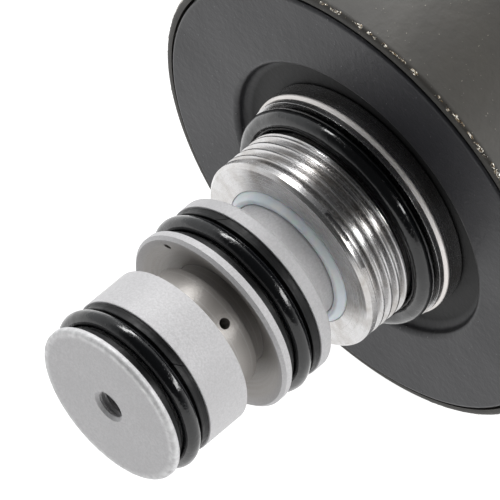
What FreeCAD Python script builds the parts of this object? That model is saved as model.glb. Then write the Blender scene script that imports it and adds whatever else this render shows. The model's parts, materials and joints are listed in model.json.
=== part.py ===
import FreeCAD, Part
import math
import os

# A screw-in solenoid cartridge valve, lying on its side.
# Millimetres. +X runs along the valve axis from the nose to the coil, +Z is up.
# The origin is on the axis, in the seat plane where the adapter's collar meets the manifold.

# ---------------------------------------------------------------- driving sizes

# Lengths along the axis, from the seat plane forward to the nose.
ADAPTER_REACH = 11.0
THREAD_L = 7.45
WAIST_L = 5.75
LAND_CHAMFER = 0.7
SLEEVE_LAND_W = 1.8
FLANGE_RIM_W = 1.54
NECK_L = 5.25
NOSE_LAND_W = 7.15
NOSE_LIP_W = 1.05
SLEEVE_TAIL = 3.2

# Outside radii of the cartridge.
NOSE_R = 12.25
NOSE_ROUND = 0.6
LAND_ROUND = 0.12
NECK_R = 9.3
NECK_ROUND = 0.6
FLANGE_R = 14.0
FLANGE_CHAMFER = 0.45
WAIST_R = 9.0
DISH_DEPTH = 2.2

# Adapter: M30 x 1.5 thread and its collar.
THREAD_R = 15.0
THREAD_PITCH = 1.5
THREAD_DEPTH = 0.92
THREAD_CREST_W = 0.12
THREAD_ROOT_W = 0.16
THREAD_LEAD_IN = 1.4
UNDERCUT_R = 14.45
STEP_R = 17.65
STEP_L = 0.85
COLLAR_R = 18.0
COLLAR_CHAMFER = 0.4
ADAPTER_CHAMFER = 0.5
COLLAR_L = 4.15
SPIGOT_L = 6.85

# Seals: inside diameter and section of each O-ring, width of the backup rings.
NOSE_SEAL_ID = 20.3
SLEEVE_SEAL_ID = 23.4
SEAL_SECTION = 2.62
ADAPTER_SEAL_ID = 29.0
ADAPTER_SEAL_SECTION = 3.0
BACKUP_W = 1.32
NOSE_GROOVE_SLACK = 0.54
SLEEVE_GROOVE_SLACK = 0.44
BACKUP_RECESS_FRONT = 0.95
BACKUP_RECESS_REAR = 0.2
SEAL_GAP = 0.02
PTFE_R = 10.7
PTFE_L = 2.6
PTFE_PROUD = 0.9

# Holes in the cartridge.
PORT_DRILL_R = 2.1
PORT_DEPTH = 9.0
PORT_COUNTERSINK_R = 2.55
BLEED_R = 0.8
BLEED_FROM_NECK_END = 2.65
BLEED_ANGLE = 126.7
DISH_HOLE_R = 0.5
DISH_HOLE_PCR = 12.1
DISH_HOLE_DEPTH = 1.2
DISH_HOLE_ANGLE = 48.0
TANK_HOLE_R = 1.0
TANK_HOLE_ANGLES = (238.0, 298.0, 358.0)

# Spool and its spring.
STROKE = 2.5
SPOOL_R = 5.0
SPOOL_FIT = 0.02
SPOOL_STEM_R = 3.2
SPOOL_LAND_W = 3.2
SPOOL_PILOT_R = 2.2
SPOOL_PILOT_L = 4.2
SPOOL_DRILL_R = 1.2
SPOOL_CROSS_R = 0.96
SPOOL_OVERLAP = 0.3
SPOOL_UNDERLAP = 0.6
CHAMBER_R = 5.6
PLUG_SPIGOT_R = 8.0
PLUG_SPIGOT_L = 5.0
SPIGOT_FIT = 0.03
SHIM_T = 0.8
SHIM_BORE_R = 2.5
SPRING_WIRE = 0.9
SPRING_MEAN_R = 3.9
SPRING_HALF_TURNS = 13

# Magnet: pole piece, armature, pin, tube and end plug.
TUBE_BORE_R = 11.5
TUBE_WALL = 1.5
TUBE_INSET = 0.8
TUBE_LIP_L = 1.1
TUBE_LIP_R = 10.4
TUBE_CHAMFER = 0.6
POLE_L = 20.0
POLE_SPIGOT_R = 8.0
POLE_SPIGOT_BACK = 2.0
POLE_RECESS_R = 9.4
POLE_RECESS_L = 4.0
POLE_RIM_R = 10.2
AIR_SHIM_T = 0.3
RESIDUAL_GAP = 0.2
ARMATURE_GAP = 0.3
ARMATURE_BOSS_L = 4.5
ARMATURE_CHAMFER = 0.4
ARMATURE_VENT_R = 1.2
ARMATURE_VENT_PCR = 6.4
VENTS = 4
PIN_R = 3.0
PIN_FIT = 0.03
PIN_TAIL = 8.0
PIN_REACH = 0.8
PIN_CHAMFER = 0.4
BEARING_R = 4.5
BEARING_L = 7.0
PLUG_CLEARANCE = 2.0
PLUG_BODY_L = 14.0
PLUG_BOSS_R = 7.0
PLUG_BOSS_L = 6.0
PLUG_SEAL_SECTION = 2.0
PLUG_SEAL_X = 9.5
PLUG_BOSS_ROUND = 0.6
O_GROOVE_SHARE = 0.65

# Manual override at the end of the tube.
OVERRIDE_TRAVEL = 2.0
OVERRIDE_R = 2.0
OVERRIDE_FIT = 0.03
OVERRIDE_STOP_R = 3.0
OVERRIDE_STOP_L = 1.4
OVERRIDE_WALL = 3.6
OVERRIDE_SEAL_SECTION = 1.0
OVERRIDE_HEAD_R = 4.0
OVERRIDE_HEAD_L = 4.5
OVERRIDE_HEAD_PROUD = 3.0
OVERRIDE_HEAD_ROUND = 0.8
OVERRIDE_POCKET_FIT = 0.3
OVERRIDE_SPRING_WIRE = 0.5
OVERRIDE_SPRING_HALF_TURNS = 8

# Coil: can, plate, bobbin, winding, moulding.
CAN_R = 36.3
CAN_WALL = 1.25
CAN_L = 64.0
CAN_FRONT = 2.7
CAN_END_WALL = 4.0
CAN_RIM_ROUND = 0.9
CAN_REAR_ROUND = 3.5
PLATE_FRONT = 2.3
PLATE_T = 6.5
PLATE_GAP = 0.3
PLATE_GAP_DEPTH = 1.2
PLATE_EDGE_ROUND = 0.5
RECESS_R = 22.0
FACE_GAP = 0.05
COIL_FIT = 0.1
COIL_SEAL_SECTION = 2.0
BOBBIN_WALL = 1.9
BOBBIN_FLANGE_T = 2.0
MOULDING_WALL = 3.45
WINDING_INSET = 1.0
PART_GAP = 0.1

# Coil nut on the end of the tube.
NUT_WALL = 6.0
NUT_L = 12.0
NUT_FLUTES = 16
NUT_FLUTE_R = 1.6
NUT_FLUTE_OUT = 0.72
NUT_FLUTE_START = 1.5
NUT_ROUND = 1.2
NUT_SEAL_OFFSET = 3.0
NUT_SEAL_SECTION = 2.4
NUT_FIT = 0.05

# Connector on the side of the can, along +Y.
CONNECTOR_MARGIN = 0.5
NECK_X = 14.0
NECK_Z = 12.0
SHELL_X = 22.0
SHELL_Z = 16.0
SHELL_WALL = 2.4
SHELL_L = 20.0
SHELL_ROUND = 3.0
SOCKET_DEPTH = 14.0
BASE_Z = 16.0
BASE_T = 3.7
GASKET_T = 1.0
SCREW_CLEARANCE = 0.3
BASE_MARGIN = 0.6
SCREW_R = 1.5
SCREW_HEAD_R = 2.75
SCREW_HEAD_L = 2.0
SCREW_BITE = 1.75
SCREW_HEX_R = 1.5
SCREW_HEX_FLOOR = 0.7
OVERCUT = 5.0
TERMINAL_PITCH = 5.0
TERMINAL_T = 0.8
TERMINAL_W = 2.8
TERMINAL_BITE = 2.35
TERMINAL_TIP_BACK = 2.5

# ---------------------------------------------------------------- stations along the axis

NOSE_GROOVE_W = SEAL_SECTION + 2 * BACKUP_W + NOSE_GROOVE_SLACK
SLEEVE_GROOVE_W = SEAL_SECTION + 2 * BACKUP_W + SLEEVE_GROOVE_SLACK

X_FACE = -ADAPTER_REACH
X_SLEEVE_LAND_END = X_FACE - WAIST_L
X_SLEEVE_LAND_REAR = X_SLEEVE_LAND_END - LAND_CHAMFER
X_SLEEVE_LAND = X_SLEEVE_LAND_REAR - SLEEVE_LAND_W
X_RIM_REAR = X_SLEEVE_LAND - SLEEVE_GROOVE_W
X_FLANGE = X_RIM_REAR - FLANGE_RIM_W
X_NOSE_LAND_REAR = X_FLANGE - NECK_L
X_NOSE_LAND = X_NOSE_LAND_REAR - NOSE_LAND_W
X_LIP = X_NOSE_LAND - NOSE_GROOVE_W
X_NOSE = X_LIP - NOSE_LIP_W

X_CHAMBER = X_NOSE + PORT_DEPTH
X_PLUG_END = X_FLANGE + PLUG_SPIGOT_L
X_SLEEVE_END = -SLEEVE_TAIL
X_PIN_FRONT = X_SLEEVE_END - PIN_REACH
X_TANK = X_FACE - WAIST_L / 2
X_SPOOL_EDGE = X_TANK + TANK_HOLE_R + SPOOL_OVERLAP
X_SPOOL_GROOVE = X_TANK - TANK_HOLE_R - STROKE - SPOOL_UNDERLAP
X_SPOOL_LAND = X_SPOOL_GROOVE - SPOOL_LAND_W

X_COLLAR_REAR = COLLAR_L
X_POLE = COLLAR_L + SPIGOT_L
X_POLE_REAR = X_POLE + POLE_L
X_POLE_FLOOR = X_POLE_REAR - POLE_RECESS_L
X_ARMATURE = X_POLE_FLOOR + AIR_SHIM_T + RESIDUAL_GAP + STROKE
X_CAN_REAR = CAN_FRONT + CAN_L
X_NUT = X_CAN_REAR + PART_GAP
X_END_PLUG_SHOULDER = X_NUT + NUT_L - TUBE_INSET
X_END_PLUG = X_END_PLUG_SHOULDER - PLUG_BODY_L
X_ARMATURE_REAR = X_END_PLUG - PLUG_CLEARANCE
X_END_PLUG_REAR = X_END_PLUG_SHOULDER + PLUG_BOSS_L
X_TUBE_END = X_END_PLUG_SHOULDER + TUBE_LIP_L
X_PIN_REAR = X_ARMATURE_REAR + PIN_TAIL
X_STOP = X_PIN_REAR + OVERRIDE_TRAVEL
X_STOP_WALL = X_STOP + OVERRIDE_STOP_L
X_POCKET = X_STOP_WALL + OVERRIDE_WALL

X_CAN_FLOOR = X_CAN_REAR - CAN_END_WALL
X_PLATE_REAR = PLATE_FRONT + PLATE_T
X_RECESS = COLLAR_L + FACE_GAP

NOSE_FLOOR_R = NOSE_SEAL_ID / 2 - SEAL_GAP
SLEEVE_FLOOR_R = SLEEVE_SEAL_ID / 2 - SEAL_GAP
CAN_BORE_R = CAN_R - CAN_WALL
PLATE_R = CAN_BORE_R - PART_GAP
MOULDING_R = CAN_BORE_R - PART_GAP
BOBBIN_FLANGE_R = MOULDING_R - MOULDING_WALL
WINDING_R = BOBBIN_FLANGE_R - WINDING_INSET
TUBE_R = TUBE_BORE_R + TUBE_WALL
COIL_BORE_R = TUBE_R + COIL_FIT
NUT_R = TUBE_R + NUT_WALL
NUT_SEAL_R = TUBE_R + NUT_SEAL_OFFSET
PIN_BORE_R = PIN_R + PIN_FIT
OVERRIDE_BORE_R = OVERRIDE_R + OVERRIDE_FIT
BASE_TOP = CAN_R + GASKET_T + BASE_T
SHELL_TOP = BASE_TOP + SHELL_L
SCREW_END = MOULDING_R - SCREW_BITE
TERMINAL_FOOT = MOULDING_R - TERMINAL_BITE
SCREW_OFFSET = SHELL_X / 2 + SCREW_CLEARANCE + SCREW_HEAD_R
BASE_X = 2 * (SCREW_OFFSET + SCREW_HEAD_R + BASE_MARGIN)
X_CONNECTOR = X_CAN_REAR - CAN_REAR_ROUND - CONNECTOR_MARGIN - BASE_X / 2

AXIS = FreeCAD.Vector(1, 0, 0)
ORIGIN = FreeCAD.Vector(0, 0, 0)

# ---------------------------------------------------------------- helpers


def lathe(points):
    """Turns an outline of (x, radius) points about the valve axis."""
    outline = [FreeCAD.Vector(x, 0, r) for x, r in points]
    face = Part.Face(Part.makePolygon(outline + outline[:1]))
    return face.revolve(ORIGIN, AXIS, 360)


def ring(x0, x1, r0, r1):
    """A plain ring between two stations and two radii."""
    return lathe([(x0, r0), (x1, r0), (x1, r1), (x0, r1)])


def rod(x0, x1, r):
    """A round bar on the valve axis."""
    return Part.makeCylinder(r, x1 - x0, FreeCAD.Vector(x0, 0, 0), AXIS)


def o_ring(x, inside_r, section):
    """An O-ring on the valve axis, centred at station x."""
    return Part.makeTorus(inside_r + section / 2, section / 2, FreeCAD.Vector(x, 0, 0), AXIS)


def block(x, z, y0, y1, size_x, size_z):
    """A box along Y, centred on (x, z)."""
    corner = FreeCAD.Vector(x - size_x / 2, y0, z - size_z / 2)
    return Part.makeBox(size_x, y1 - y0, size_z, corner)


def polar(x, r, angle):
    """The point at station x and radius r, with its angle counted from +Y towards +Z."""
    a = math.radians(angle)
    return FreeCAD.Vector(x, r * math.cos(a), r * math.sin(a))


def radial_hole(x, angle, hole_r, r0, r1):
    """A cylinder along a radius, to be cut from a wall between r0 and r1."""
    return Part.makeCylinder(hole_r, r1 - r0, polar(x, r0, angle), polar(0, 1, angle))


def round_edges(shape, radius, places):
    """Rounds the circular edges about the valve axis at the given (x, radius) places."""
    chosen = []
    for edge in shape.Edges:
        if not isinstance(edge.Curve, Part.Circle):
            continue
        centre = edge.Curve.Center
        for x, r in places:
            on_axis = abs(centre.y) < 1e-6 and abs(centre.z) < 1e-6
            if on_axis and abs(centre.x - x) < 1e-6 and abs(edge.Curve.Radius - r) < 1e-6:
                chosen.append(edge)
    return shape.makeFillet(radius, chosen)


def spring(x0, x1, mean_r, wire, half_turns):
    """A compression spring between two stations, each half turn half a ring tilted to meet the next."""
    rise = (x1 - x0 - wire) / half_turns
    halves = []
    for n in range(half_turns):
        side = 1 - 2 * (n % 2)
        start = FreeCAD.Vector(x0 + wire / 2 + n * rise, 0, side * mean_r)
        end = FreeCAD.Vector(start.x + rise, 0, -side * mean_r)
        centre = (start + end) / 2
        section = Part.Face(Part.Wire(Part.makeCircle(wire / 2, start, FreeCAD.Vector(0, 1, 0))))
        hinge = (start - centre).cross(FreeCAD.Vector(0, -side, 0))
        halves.append(section.revolve(centre, hinge, 180))
    return halves[0].multiFuse(halves[1:])


def backup_ring(x, floor_r, outer_r):
    """A flat backup ring in a seal groove."""
    return ring(x, x + BACKUP_W, floor_r + SEAL_GAP, outer_r)


# ---------------------------------------------------------------- cartridge


def nose_plug():
    floor = NOSE_FLOOR_R
    end_r = PLUG_SPIGOT_R - SPIGOT_FIT
    body = lathe([
        (X_NOSE, 0), (X_NOSE, NOSE_R), (X_LIP, NOSE_R), (X_LIP, floor),
        (X_NOSE_LAND, floor), (X_NOSE_LAND, NOSE_R), (X_NOSE_LAND_REAR, NOSE_R),
        (X_NOSE_LAND_REAR, NECK_R), (X_FLANGE, NECK_R), (X_FLANGE, end_r), (X_PLUG_END, end_r),
        (X_PLUG_END, 0),
    ])
    body = round_edges(body, NOSE_ROUND, [(X_NOSE, NOSE_R)])
    body = round_edges(body, NECK_ROUND, [(X_FLANGE, NECK_R)])
    land_edges = [(X_LIP, NOSE_R), (X_NOSE_LAND, NOSE_R), (X_NOSE_LAND_REAR, NOSE_R)]
    body = round_edges(body, LAND_ROUND, land_edges)
    sink = PORT_COUNTERSINK_R - PORT_DRILL_R
    bore = lathe([
        (X_NOSE, 0), (X_NOSE, PORT_COUNTERSINK_R), (X_NOSE + sink, PORT_DRILL_R),
        (X_CHAMBER, PORT_DRILL_R), (X_CHAMBER, CHAMBER_R), (X_PLUG_END, CHAMBER_R), (X_PLUG_END, 0),
    ])
    bleed_x = X_FLANGE - BLEED_FROM_NECK_END
    bleed = radial_hole(bleed_x, BLEED_ANGLE, BLEED_R, CHAMBER_R - OVERCUT, NECK_R + OVERCUT)
    return body.cut(bore).cut(bleed)


def valve_sleeve():
    floor = SLEEVE_FLOOR_R
    edge = FLANGE_R - FLANGE_CHAMFER
    throat = PLUG_SPIGOT_R + SPIGOT_FIT
    bore_r = SPOOL_R + SPOOL_FIT
    body = lathe([
        (X_FLANGE + DISH_DEPTH, throat), (X_FLANGE, edge), (X_FLANGE + FLANGE_CHAMFER, FLANGE_R),
        (X_RIM_REAR, FLANGE_R), (X_RIM_REAR, floor), (X_SLEEVE_LAND, floor), (X_SLEEVE_LAND, FLANGE_R),
        (X_SLEEVE_LAND_REAR, FLANGE_R), (X_SLEEVE_LAND_END, FLANGE_R - LAND_CHAMFER),
        (X_SLEEVE_LAND_END, WAIST_R), (X_SLEEVE_END, WAIST_R), (X_SLEEVE_END, bore_r),
        (X_PLUG_END, bore_r), (X_PLUG_END, throat),
    ])
    body = round_edges(body, LAND_ROUND, [(X_RIM_REAR, FLANGE_R), (X_SLEEVE_LAND, FLANGE_R)])
    start = polar(X_FLANGE - OVERCUT, DISH_HOLE_PCR, DISH_HOLE_ANGLE)
    dish_slope = DISH_DEPTH * (edge - DISH_HOLE_PCR) / (edge - throat)
    body = body.cut(Part.makeCylinder(DISH_HOLE_R, OVERCUT + dish_slope + DISH_HOLE_DEPTH, start, AXIS))
    for angle in TANK_HOLE_ANGLES:
        body = body.cut(radial_hole(X_TANK, angle, TANK_HOLE_R, 0, WAIST_R + OVERCUT))
    return body


def ptfe_seal_ring():
    inner = WAIST_R + SEAL_GAP
    outer = PTFE_R - SEAL_GAP
    seat = X_FACE + PTFE_L
    bead = (outer - inner) / 3
    crest = X_FACE - PTFE_PROUD
    return lathe([
        (seat - SEAL_GAP, inner), (crest + bead / 2, inner), (crest, inner + bead),
        (crest + bead / 2, outer - bead / 2), (X_FACE, outer), (seat - SEAL_GAP, outer),
    ])


def threaded_adapter():
    thread_end = X_FACE + THREAD_L
    flank_w = (THREAD_PITCH - THREAD_CREST_W - THREAD_ROOT_W) / 2
    first_groove = X_FACE + THREAD_LEAD_IN
    outline = [(X_FACE, PTFE_R), (X_FACE, THREAD_R - ADAPTER_CHAMFER), (X_FACE + ADAPTER_CHAMFER, THREAD_R)]
    grooves = int((thread_end - first_groove) / THREAD_PITCH)
    for n in range(grooves):
        x = first_groove + n * THREAD_PITCH
        outline += [
            (x, THREAD_R), (x + flank_w, THREAD_R - THREAD_DEPTH),
            (x + flank_w + THREAD_ROOT_W, THREAD_R - THREAD_DEPTH),
            (x + THREAD_PITCH - THREAD_CREST_W, THREAD_R),
        ]
    outline += [
        (thread_end, THREAD_R), (thread_end + ADAPTER_CHAMFER, UNDERCUT_R), (0, UNDERCUT_R), (0, STEP_R),
        (STEP_L, STEP_R), (STEP_L + COLLAR_CHAMFER, COLLAR_R), (X_COLLAR_REAR, COLLAR_R),
        (X_COLLAR_REAR, TUBE_BORE_R), (X_POLE, TUBE_BORE_R), (X_POLE, POLE_SPIGOT_R),
        (X_SLEEVE_END, POLE_SPIGOT_R), (X_SLEEVE_END, WAIST_R + SPIGOT_FIT),
        (X_FACE + PTFE_L, WAIST_R + SPIGOT_FIT), (X_FACE + PTFE_L, PTFE_R),
    ]
    return lathe(outline)


def cartridge_seals():
    """The O-rings and backup rings of the nose and the flange, and the O-ring of the port mouth."""
    nodes = {}
    for name, start, end, floor, land_r, inside in (
        ("nose", X_LIP, X_NOSE_LAND, NOSE_FLOOR_R, NOSE_R, NOSE_SEAL_ID),
        ("sleeve", X_RIM_REAR, X_SLEEVE_LAND, SLEEVE_FLOOR_R, FLANGE_R, SLEEVE_SEAL_ID),
    ):
        front_ring = backup_ring(start + SEAL_GAP, floor, land_r - BACKUP_RECESS_FRONT)
        rear_ring = backup_ring(end - SEAL_GAP - BACKUP_W, floor, land_r - BACKUP_RECESS_REAR)
        nodes[name + "_backup_ring_front"] = front_ring
        nodes[name + "_backup_ring_rear"] = rear_ring
        nodes[name + "_o_ring"] = o_ring((start + end) / 2, inside / 2, SEAL_SECTION)
    seat = ADAPTER_SEAL_SECTION / 2
    nodes["adapter_o_ring"] = o_ring(-seat - SEAL_GAP, ADAPTER_SEAL_ID / 2, ADAPTER_SEAL_SECTION)
    return nodes


# ---------------------------------------------------------------- spool


def spool():
    pilot = X_SPOOL_LAND - SPOOL_PILOT_L
    body = lathe([
        (pilot, 0), (pilot, SPOOL_PILOT_R), (X_SPOOL_LAND, SPOOL_PILOT_R), (X_SPOOL_LAND, SPOOL_R),
        (X_SPOOL_GROOVE, SPOOL_R), (X_SPOOL_GROOVE, SPOOL_STEM_R), (X_SPOOL_EDGE, SPOOL_STEM_R),
        (X_SPOOL_EDGE, SPOOL_R), (X_PIN_FRONT - SEAL_GAP, SPOOL_R), (X_PIN_FRONT - SEAL_GAP, 0),
    ])
    cross = (X_SPOOL_GROOVE + X_SPOOL_EDGE) / 2
    body = body.cut(rod(pilot - OVERCUT, cross + SPOOL_CROSS_R, SPOOL_DRILL_R))
    for angle in (0, 90, 180, 270):
        body = body.cut(radial_hole(cross, angle, SPOOL_CROSS_R, 0, SPOOL_R))
    return body


def spring_shim():
    return ring(X_CHAMBER, X_CHAMBER + SHIM_T, SHIM_BORE_R, CHAMBER_R - SPIGOT_FIT)


def return_spring():
    front = X_CHAMBER + SHIM_T + SEAL_GAP
    return spring(front, X_SPOOL_LAND - SEAL_GAP, SPRING_MEAN_R, SPRING_WIRE, SPRING_HALF_TURNS)


# ---------------------------------------------------------------- magnet


def pole_piece():
    outer = TUBE_BORE_R - SEAL_GAP
    front = -POLE_SPIGOT_BACK
    body = lathe([
        (front, 0), (front, POLE_SPIGOT_R - SEAL_GAP), (X_POLE, POLE_SPIGOT_R - SEAL_GAP), (X_POLE, outer),
        (X_POLE_FLOOR, outer), (X_POLE_REAR, POLE_RIM_R), (X_POLE_REAR, POLE_RECESS_R),
        (X_POLE_FLOOR, POLE_RECESS_R), (X_POLE_FLOOR, 0),
    ])
    body = body.cut(rod(front - OVERCUT, X_POLE_FLOOR + OVERCUT, PIN_R + ARMATURE_GAP))
    return body.cut(rod(X_POLE_FLOOR - BEARING_L, X_POLE_FLOOR, BEARING_R))


def front_bearing():
    return ring(X_POLE_FLOOR - BEARING_L, X_POLE_FLOOR, PIN_BORE_R, BEARING_R)


def air_gap_shim():
    return ring(X_POLE_FLOOR, X_POLE_FLOOR + AIR_SHIM_T, PIN_R + ARMATURE_GAP, POLE_RECESS_R - PART_GAP)


def guide_tube():
    return lathe([
        (X_COLLAR_REAR, TUBE_BORE_R), (X_END_PLUG_SHOULDER, TUBE_BORE_R), (X_END_PLUG_SHOULDER, TUBE_LIP_R),
        (X_TUBE_END, TUBE_LIP_R), (X_TUBE_END, TUBE_R - TUBE_CHAMFER), (X_TUBE_END - TUBE_CHAMFER, TUBE_R),
        (X_COLLAR_REAR, TUBE_R),
    ])


def armature():
    outer = TUBE_BORE_R - ARMATURE_GAP
    boss_r = POLE_RECESS_R - ARMATURE_GAP
    shoulder = X_ARMATURE + ARMATURE_BOSS_L
    edge = ARMATURE_CHAMFER
    body = lathe([
        (X_ARMATURE, PIN_R), (X_ARMATURE, boss_r), (shoulder, boss_r), (shoulder, outer - edge),
        (shoulder + edge, outer), (X_ARMATURE_REAR - edge, outer), (X_ARMATURE_REAR, outer - edge),
        (X_ARMATURE_REAR, PIN_R),
    ])
    for n in range(VENTS):
        start = polar(X_ARMATURE, ARMATURE_VENT_PCR, 360 * n / VENTS)
        body = body.cut(Part.makeCylinder(ARMATURE_VENT_R, X_ARMATURE_REAR - X_ARMATURE, start, AXIS))
    return body


def push_pin():
    tip = PIN_CHAMFER
    return lathe([
        (X_PIN_FRONT, 0), (X_PIN_FRONT, PIN_R - tip), (X_PIN_FRONT + tip, PIN_R), (X_PIN_REAR - tip, PIN_R),
        (X_PIN_REAR, PIN_R - tip), (X_PIN_REAR, 0),
    ])


def end_plug():
    outer = TUBE_BORE_R - SEAL_GAP
    seal_floor = TUBE_BORE_R - PLUG_SEAL_SECTION - 2 * SEAL_GAP
    seal = X_END_PLUG + PLUG_SEAL_X
    half = PLUG_SEAL_SECTION * O_GROOVE_SHARE
    body = lathe([
        (X_END_PLUG, 0), (X_END_PLUG, outer), (seal - half, outer), (seal - half, seal_floor),
        (seal + half, seal_floor), (seal + half, outer), (X_END_PLUG_SHOULDER, outer),
        (X_END_PLUG_SHOULDER, PLUG_BOSS_R), (X_END_PLUG_REAR, PLUG_BOSS_R), (X_END_PLUG_REAR, 0),
    ])
    body = round_edges(body, PLUG_BOSS_ROUND, [(X_END_PLUG_REAR, PLUG_BOSS_R)])
    o_groove = OVERRIDE_SEAL_SECTION * O_GROOVE_SHARE
    seat = (X_STOP_WALL + X_POCKET) / 2
    groove_r = OVERRIDE_BORE_R + OVERRIDE_SEAL_SECTION
    pocket_r = OVERRIDE_HEAD_R + OVERRIDE_POCKET_FIT
    bore = lathe([
        (X_END_PLUG, 0), (X_END_PLUG, BEARING_R), (X_STOP_WALL + PART_GAP, BEARING_R),
        (X_STOP_WALL + PART_GAP, OVERRIDE_BORE_R), (seat - o_groove, OVERRIDE_BORE_R),
        (seat - o_groove, groove_r), (seat + o_groove, groove_r), (seat + o_groove, OVERRIDE_BORE_R),
        (X_POCKET, OVERRIDE_BORE_R), (X_POCKET, pocket_r), (X_END_PLUG_REAR, pocket_r),
        (X_END_PLUG_REAR, 0),
    ])
    return body.cut(bore)


def rear_bearing():
    return ring(X_END_PLUG, X_END_PLUG + BEARING_L, PIN_BORE_R, BEARING_R)


def end_plug_o_ring():
    inside = TUBE_BORE_R - PLUG_SEAL_SECTION - SEAL_GAP
    return o_ring(X_END_PLUG + PLUG_SEAL_X, inside, PLUG_SEAL_SECTION)


# ---------------------------------------------------------------- manual override


def override_pin():
    head = X_END_PLUG_REAR + OVERRIDE_HEAD_PROUD
    body = lathe([
        (X_STOP, 0), (X_STOP, OVERRIDE_STOP_R), (X_STOP_WALL, OVERRIDE_STOP_R), (X_STOP_WALL, OVERRIDE_R),
        (head - OVERRIDE_HEAD_L, OVERRIDE_R), (head - OVERRIDE_HEAD_L, OVERRIDE_HEAD_R),
        (head, OVERRIDE_HEAD_R), (head, 0),
    ])
    return round_edges(body, OVERRIDE_HEAD_ROUND, [(head, OVERRIDE_HEAD_R)])


def override_o_ring():
    return o_ring((X_STOP_WALL + X_POCKET) / 2, OVERRIDE_BORE_R, OVERRIDE_SEAL_SECTION)


def override_spring():
    head = X_END_PLUG_REAR + OVERRIDE_HEAD_PROUD - OVERRIDE_HEAD_L
    mean_r = (OVERRIDE_R + OVERRIDE_HEAD_R) / 2
    wire = OVERRIDE_SPRING_WIRE
    return spring(X_POCKET + SEAL_GAP, head - SEAL_GAP, mean_r, wire, OVERRIDE_SPRING_HALF_TURNS)


# ---------------------------------------------------------------- coil


def front_plate():
    seal_r = COIL_BORE_R + COIL_SEAL_SECTION
    seal_x = X_PLATE_REAR - COIL_SEAL_SECTION - PART_GAP
    rim_r = PLATE_R - PLATE_GAP
    ledge = CAN_FRONT + PLATE_GAP_DEPTH
    body = lathe([
        (X_RECESS, COIL_BORE_R), (X_RECESS, RECESS_R), (PLATE_FRONT, RECESS_R), (PLATE_FRONT, rim_r),
        (ledge, rim_r), (ledge, PLATE_R), (X_PLATE_REAR, PLATE_R), (X_PLATE_REAR, seal_r),
        (seal_x, seal_r), (seal_x, COIL_BORE_R),
    ])
    return round_edges(body, PLATE_EDGE_ROUND, [(PLATE_FRONT, rim_r), (PLATE_FRONT, RECESS_R)])


def coil_front_seal():
    return o_ring(X_PLATE_REAR - COIL_SEAL_SECTION / 2 - PART_GAP, COIL_BORE_R, COIL_SEAL_SECTION)


def coil_can():
    body = lathe([
        (CAN_FRONT, CAN_BORE_R), (CAN_FRONT, CAN_R), (X_CAN_REAR, CAN_R), (X_CAN_REAR, COIL_BORE_R),
        (X_CAN_FLOOR, COIL_BORE_R), (X_CAN_FLOOR, CAN_BORE_R),
    ])
    body = round_edges(body, CAN_RIM_ROUND, [(CAN_FRONT, CAN_R)])
    body = round_edges(body, CAN_REAR_ROUND, [(X_CAN_REAR, CAN_R)])
    neck = block(X_CONNECTOR, 0, 0, CAN_R + OVERCUT, NECK_X + 2 * PART_GAP, NECK_Z + 2 * PART_GAP)
    return body.cut(neck).cut(screw_holes())


def coil_bobbin():
    front = X_PLATE_REAR + PART_GAP
    rear = X_CAN_FLOOR - PART_GAP
    wall = COIL_BORE_R + BOBBIN_WALL
    return lathe([
        (front, COIL_BORE_R), (front, BOBBIN_FLANGE_R), (front + BOBBIN_FLANGE_T, BOBBIN_FLANGE_R),
        (front + BOBBIN_FLANGE_T, wall), (rear - BOBBIN_FLANGE_T, wall),
        (rear - BOBBIN_FLANGE_T, BOBBIN_FLANGE_R), (rear, BOBBIN_FLANGE_R), (rear, COIL_BORE_R),
    ])


def copper_winding():
    front = X_PLATE_REAR + PART_GAP + BOBBIN_FLANGE_T
    rear = X_CAN_FLOOR - PART_GAP - BOBBIN_FLANGE_T
    return ring(front, rear, COIL_BORE_R + BOBBIN_WALL, WINDING_R)


def coil_moulding():
    front = X_PLATE_REAR + PART_GAP
    rear = X_CAN_FLOOR - PART_GAP
    body = lathe([
        (front, BOBBIN_FLANGE_R), (front, MOULDING_R), (rear, MOULDING_R), (rear, BOBBIN_FLANGE_R),
        (rear - BOBBIN_FLANGE_T, BOBBIN_FLANGE_R), (rear - BOBBIN_FLANGE_T, WINDING_R),
        (front + BOBBIN_FLANGE_T, WINDING_R), (front + BOBBIN_FLANGE_T, BOBBIN_FLANGE_R),
    ])
    return body.cut(terminal_pins()).cut(screw_holes())


# ---------------------------------------------------------------- nut


def coil_nut():
    seal_half = NUT_SEAL_SECTION / 2 + PART_GAP
    seal_x = X_NUT + NUT_SEAL_SECTION
    rear = X_NUT + NUT_L
    body = lathe([
        (X_NUT, TUBE_R + NUT_FIT), (X_NUT, NUT_SEAL_R - seal_half), (seal_x, NUT_SEAL_R - seal_half),
        (seal_x, NUT_SEAL_R + seal_half), (X_NUT, NUT_SEAL_R + seal_half), (X_NUT, NUT_R),
        (rear, NUT_R), (rear, TUBE_R + NUT_FIT),
    ])
    body = round_edges(body, NUT_ROUND, [(rear, NUT_R)])
    for n in range(NUT_FLUTES):
        centre = polar(X_NUT + NUT_FLUTE_START, NUT_R + NUT_FLUTE_OUT, 360 * n / NUT_FLUTES)
        body = body.cut(Part.makeCylinder(NUT_FLUTE_R, NUT_L, centre, AXIS))
    return body


def nut_o_ring():
    return o_ring(X_NUT + NUT_SEAL_SECTION / 2, NUT_SEAL_R - NUT_SEAL_SECTION / 2, NUT_SEAL_SECTION)


# ---------------------------------------------------------------- connector


def screw_places():
    return [X_CONNECTOR - SCREW_OFFSET, X_CONNECTOR + SCREW_OFFSET]


def along_y(x, r, y0, y1):
    return Part.makeCylinder(r, y1 - y0, FreeCAD.Vector(x, y0, 0), FreeCAD.Vector(0, 1, 0))


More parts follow.
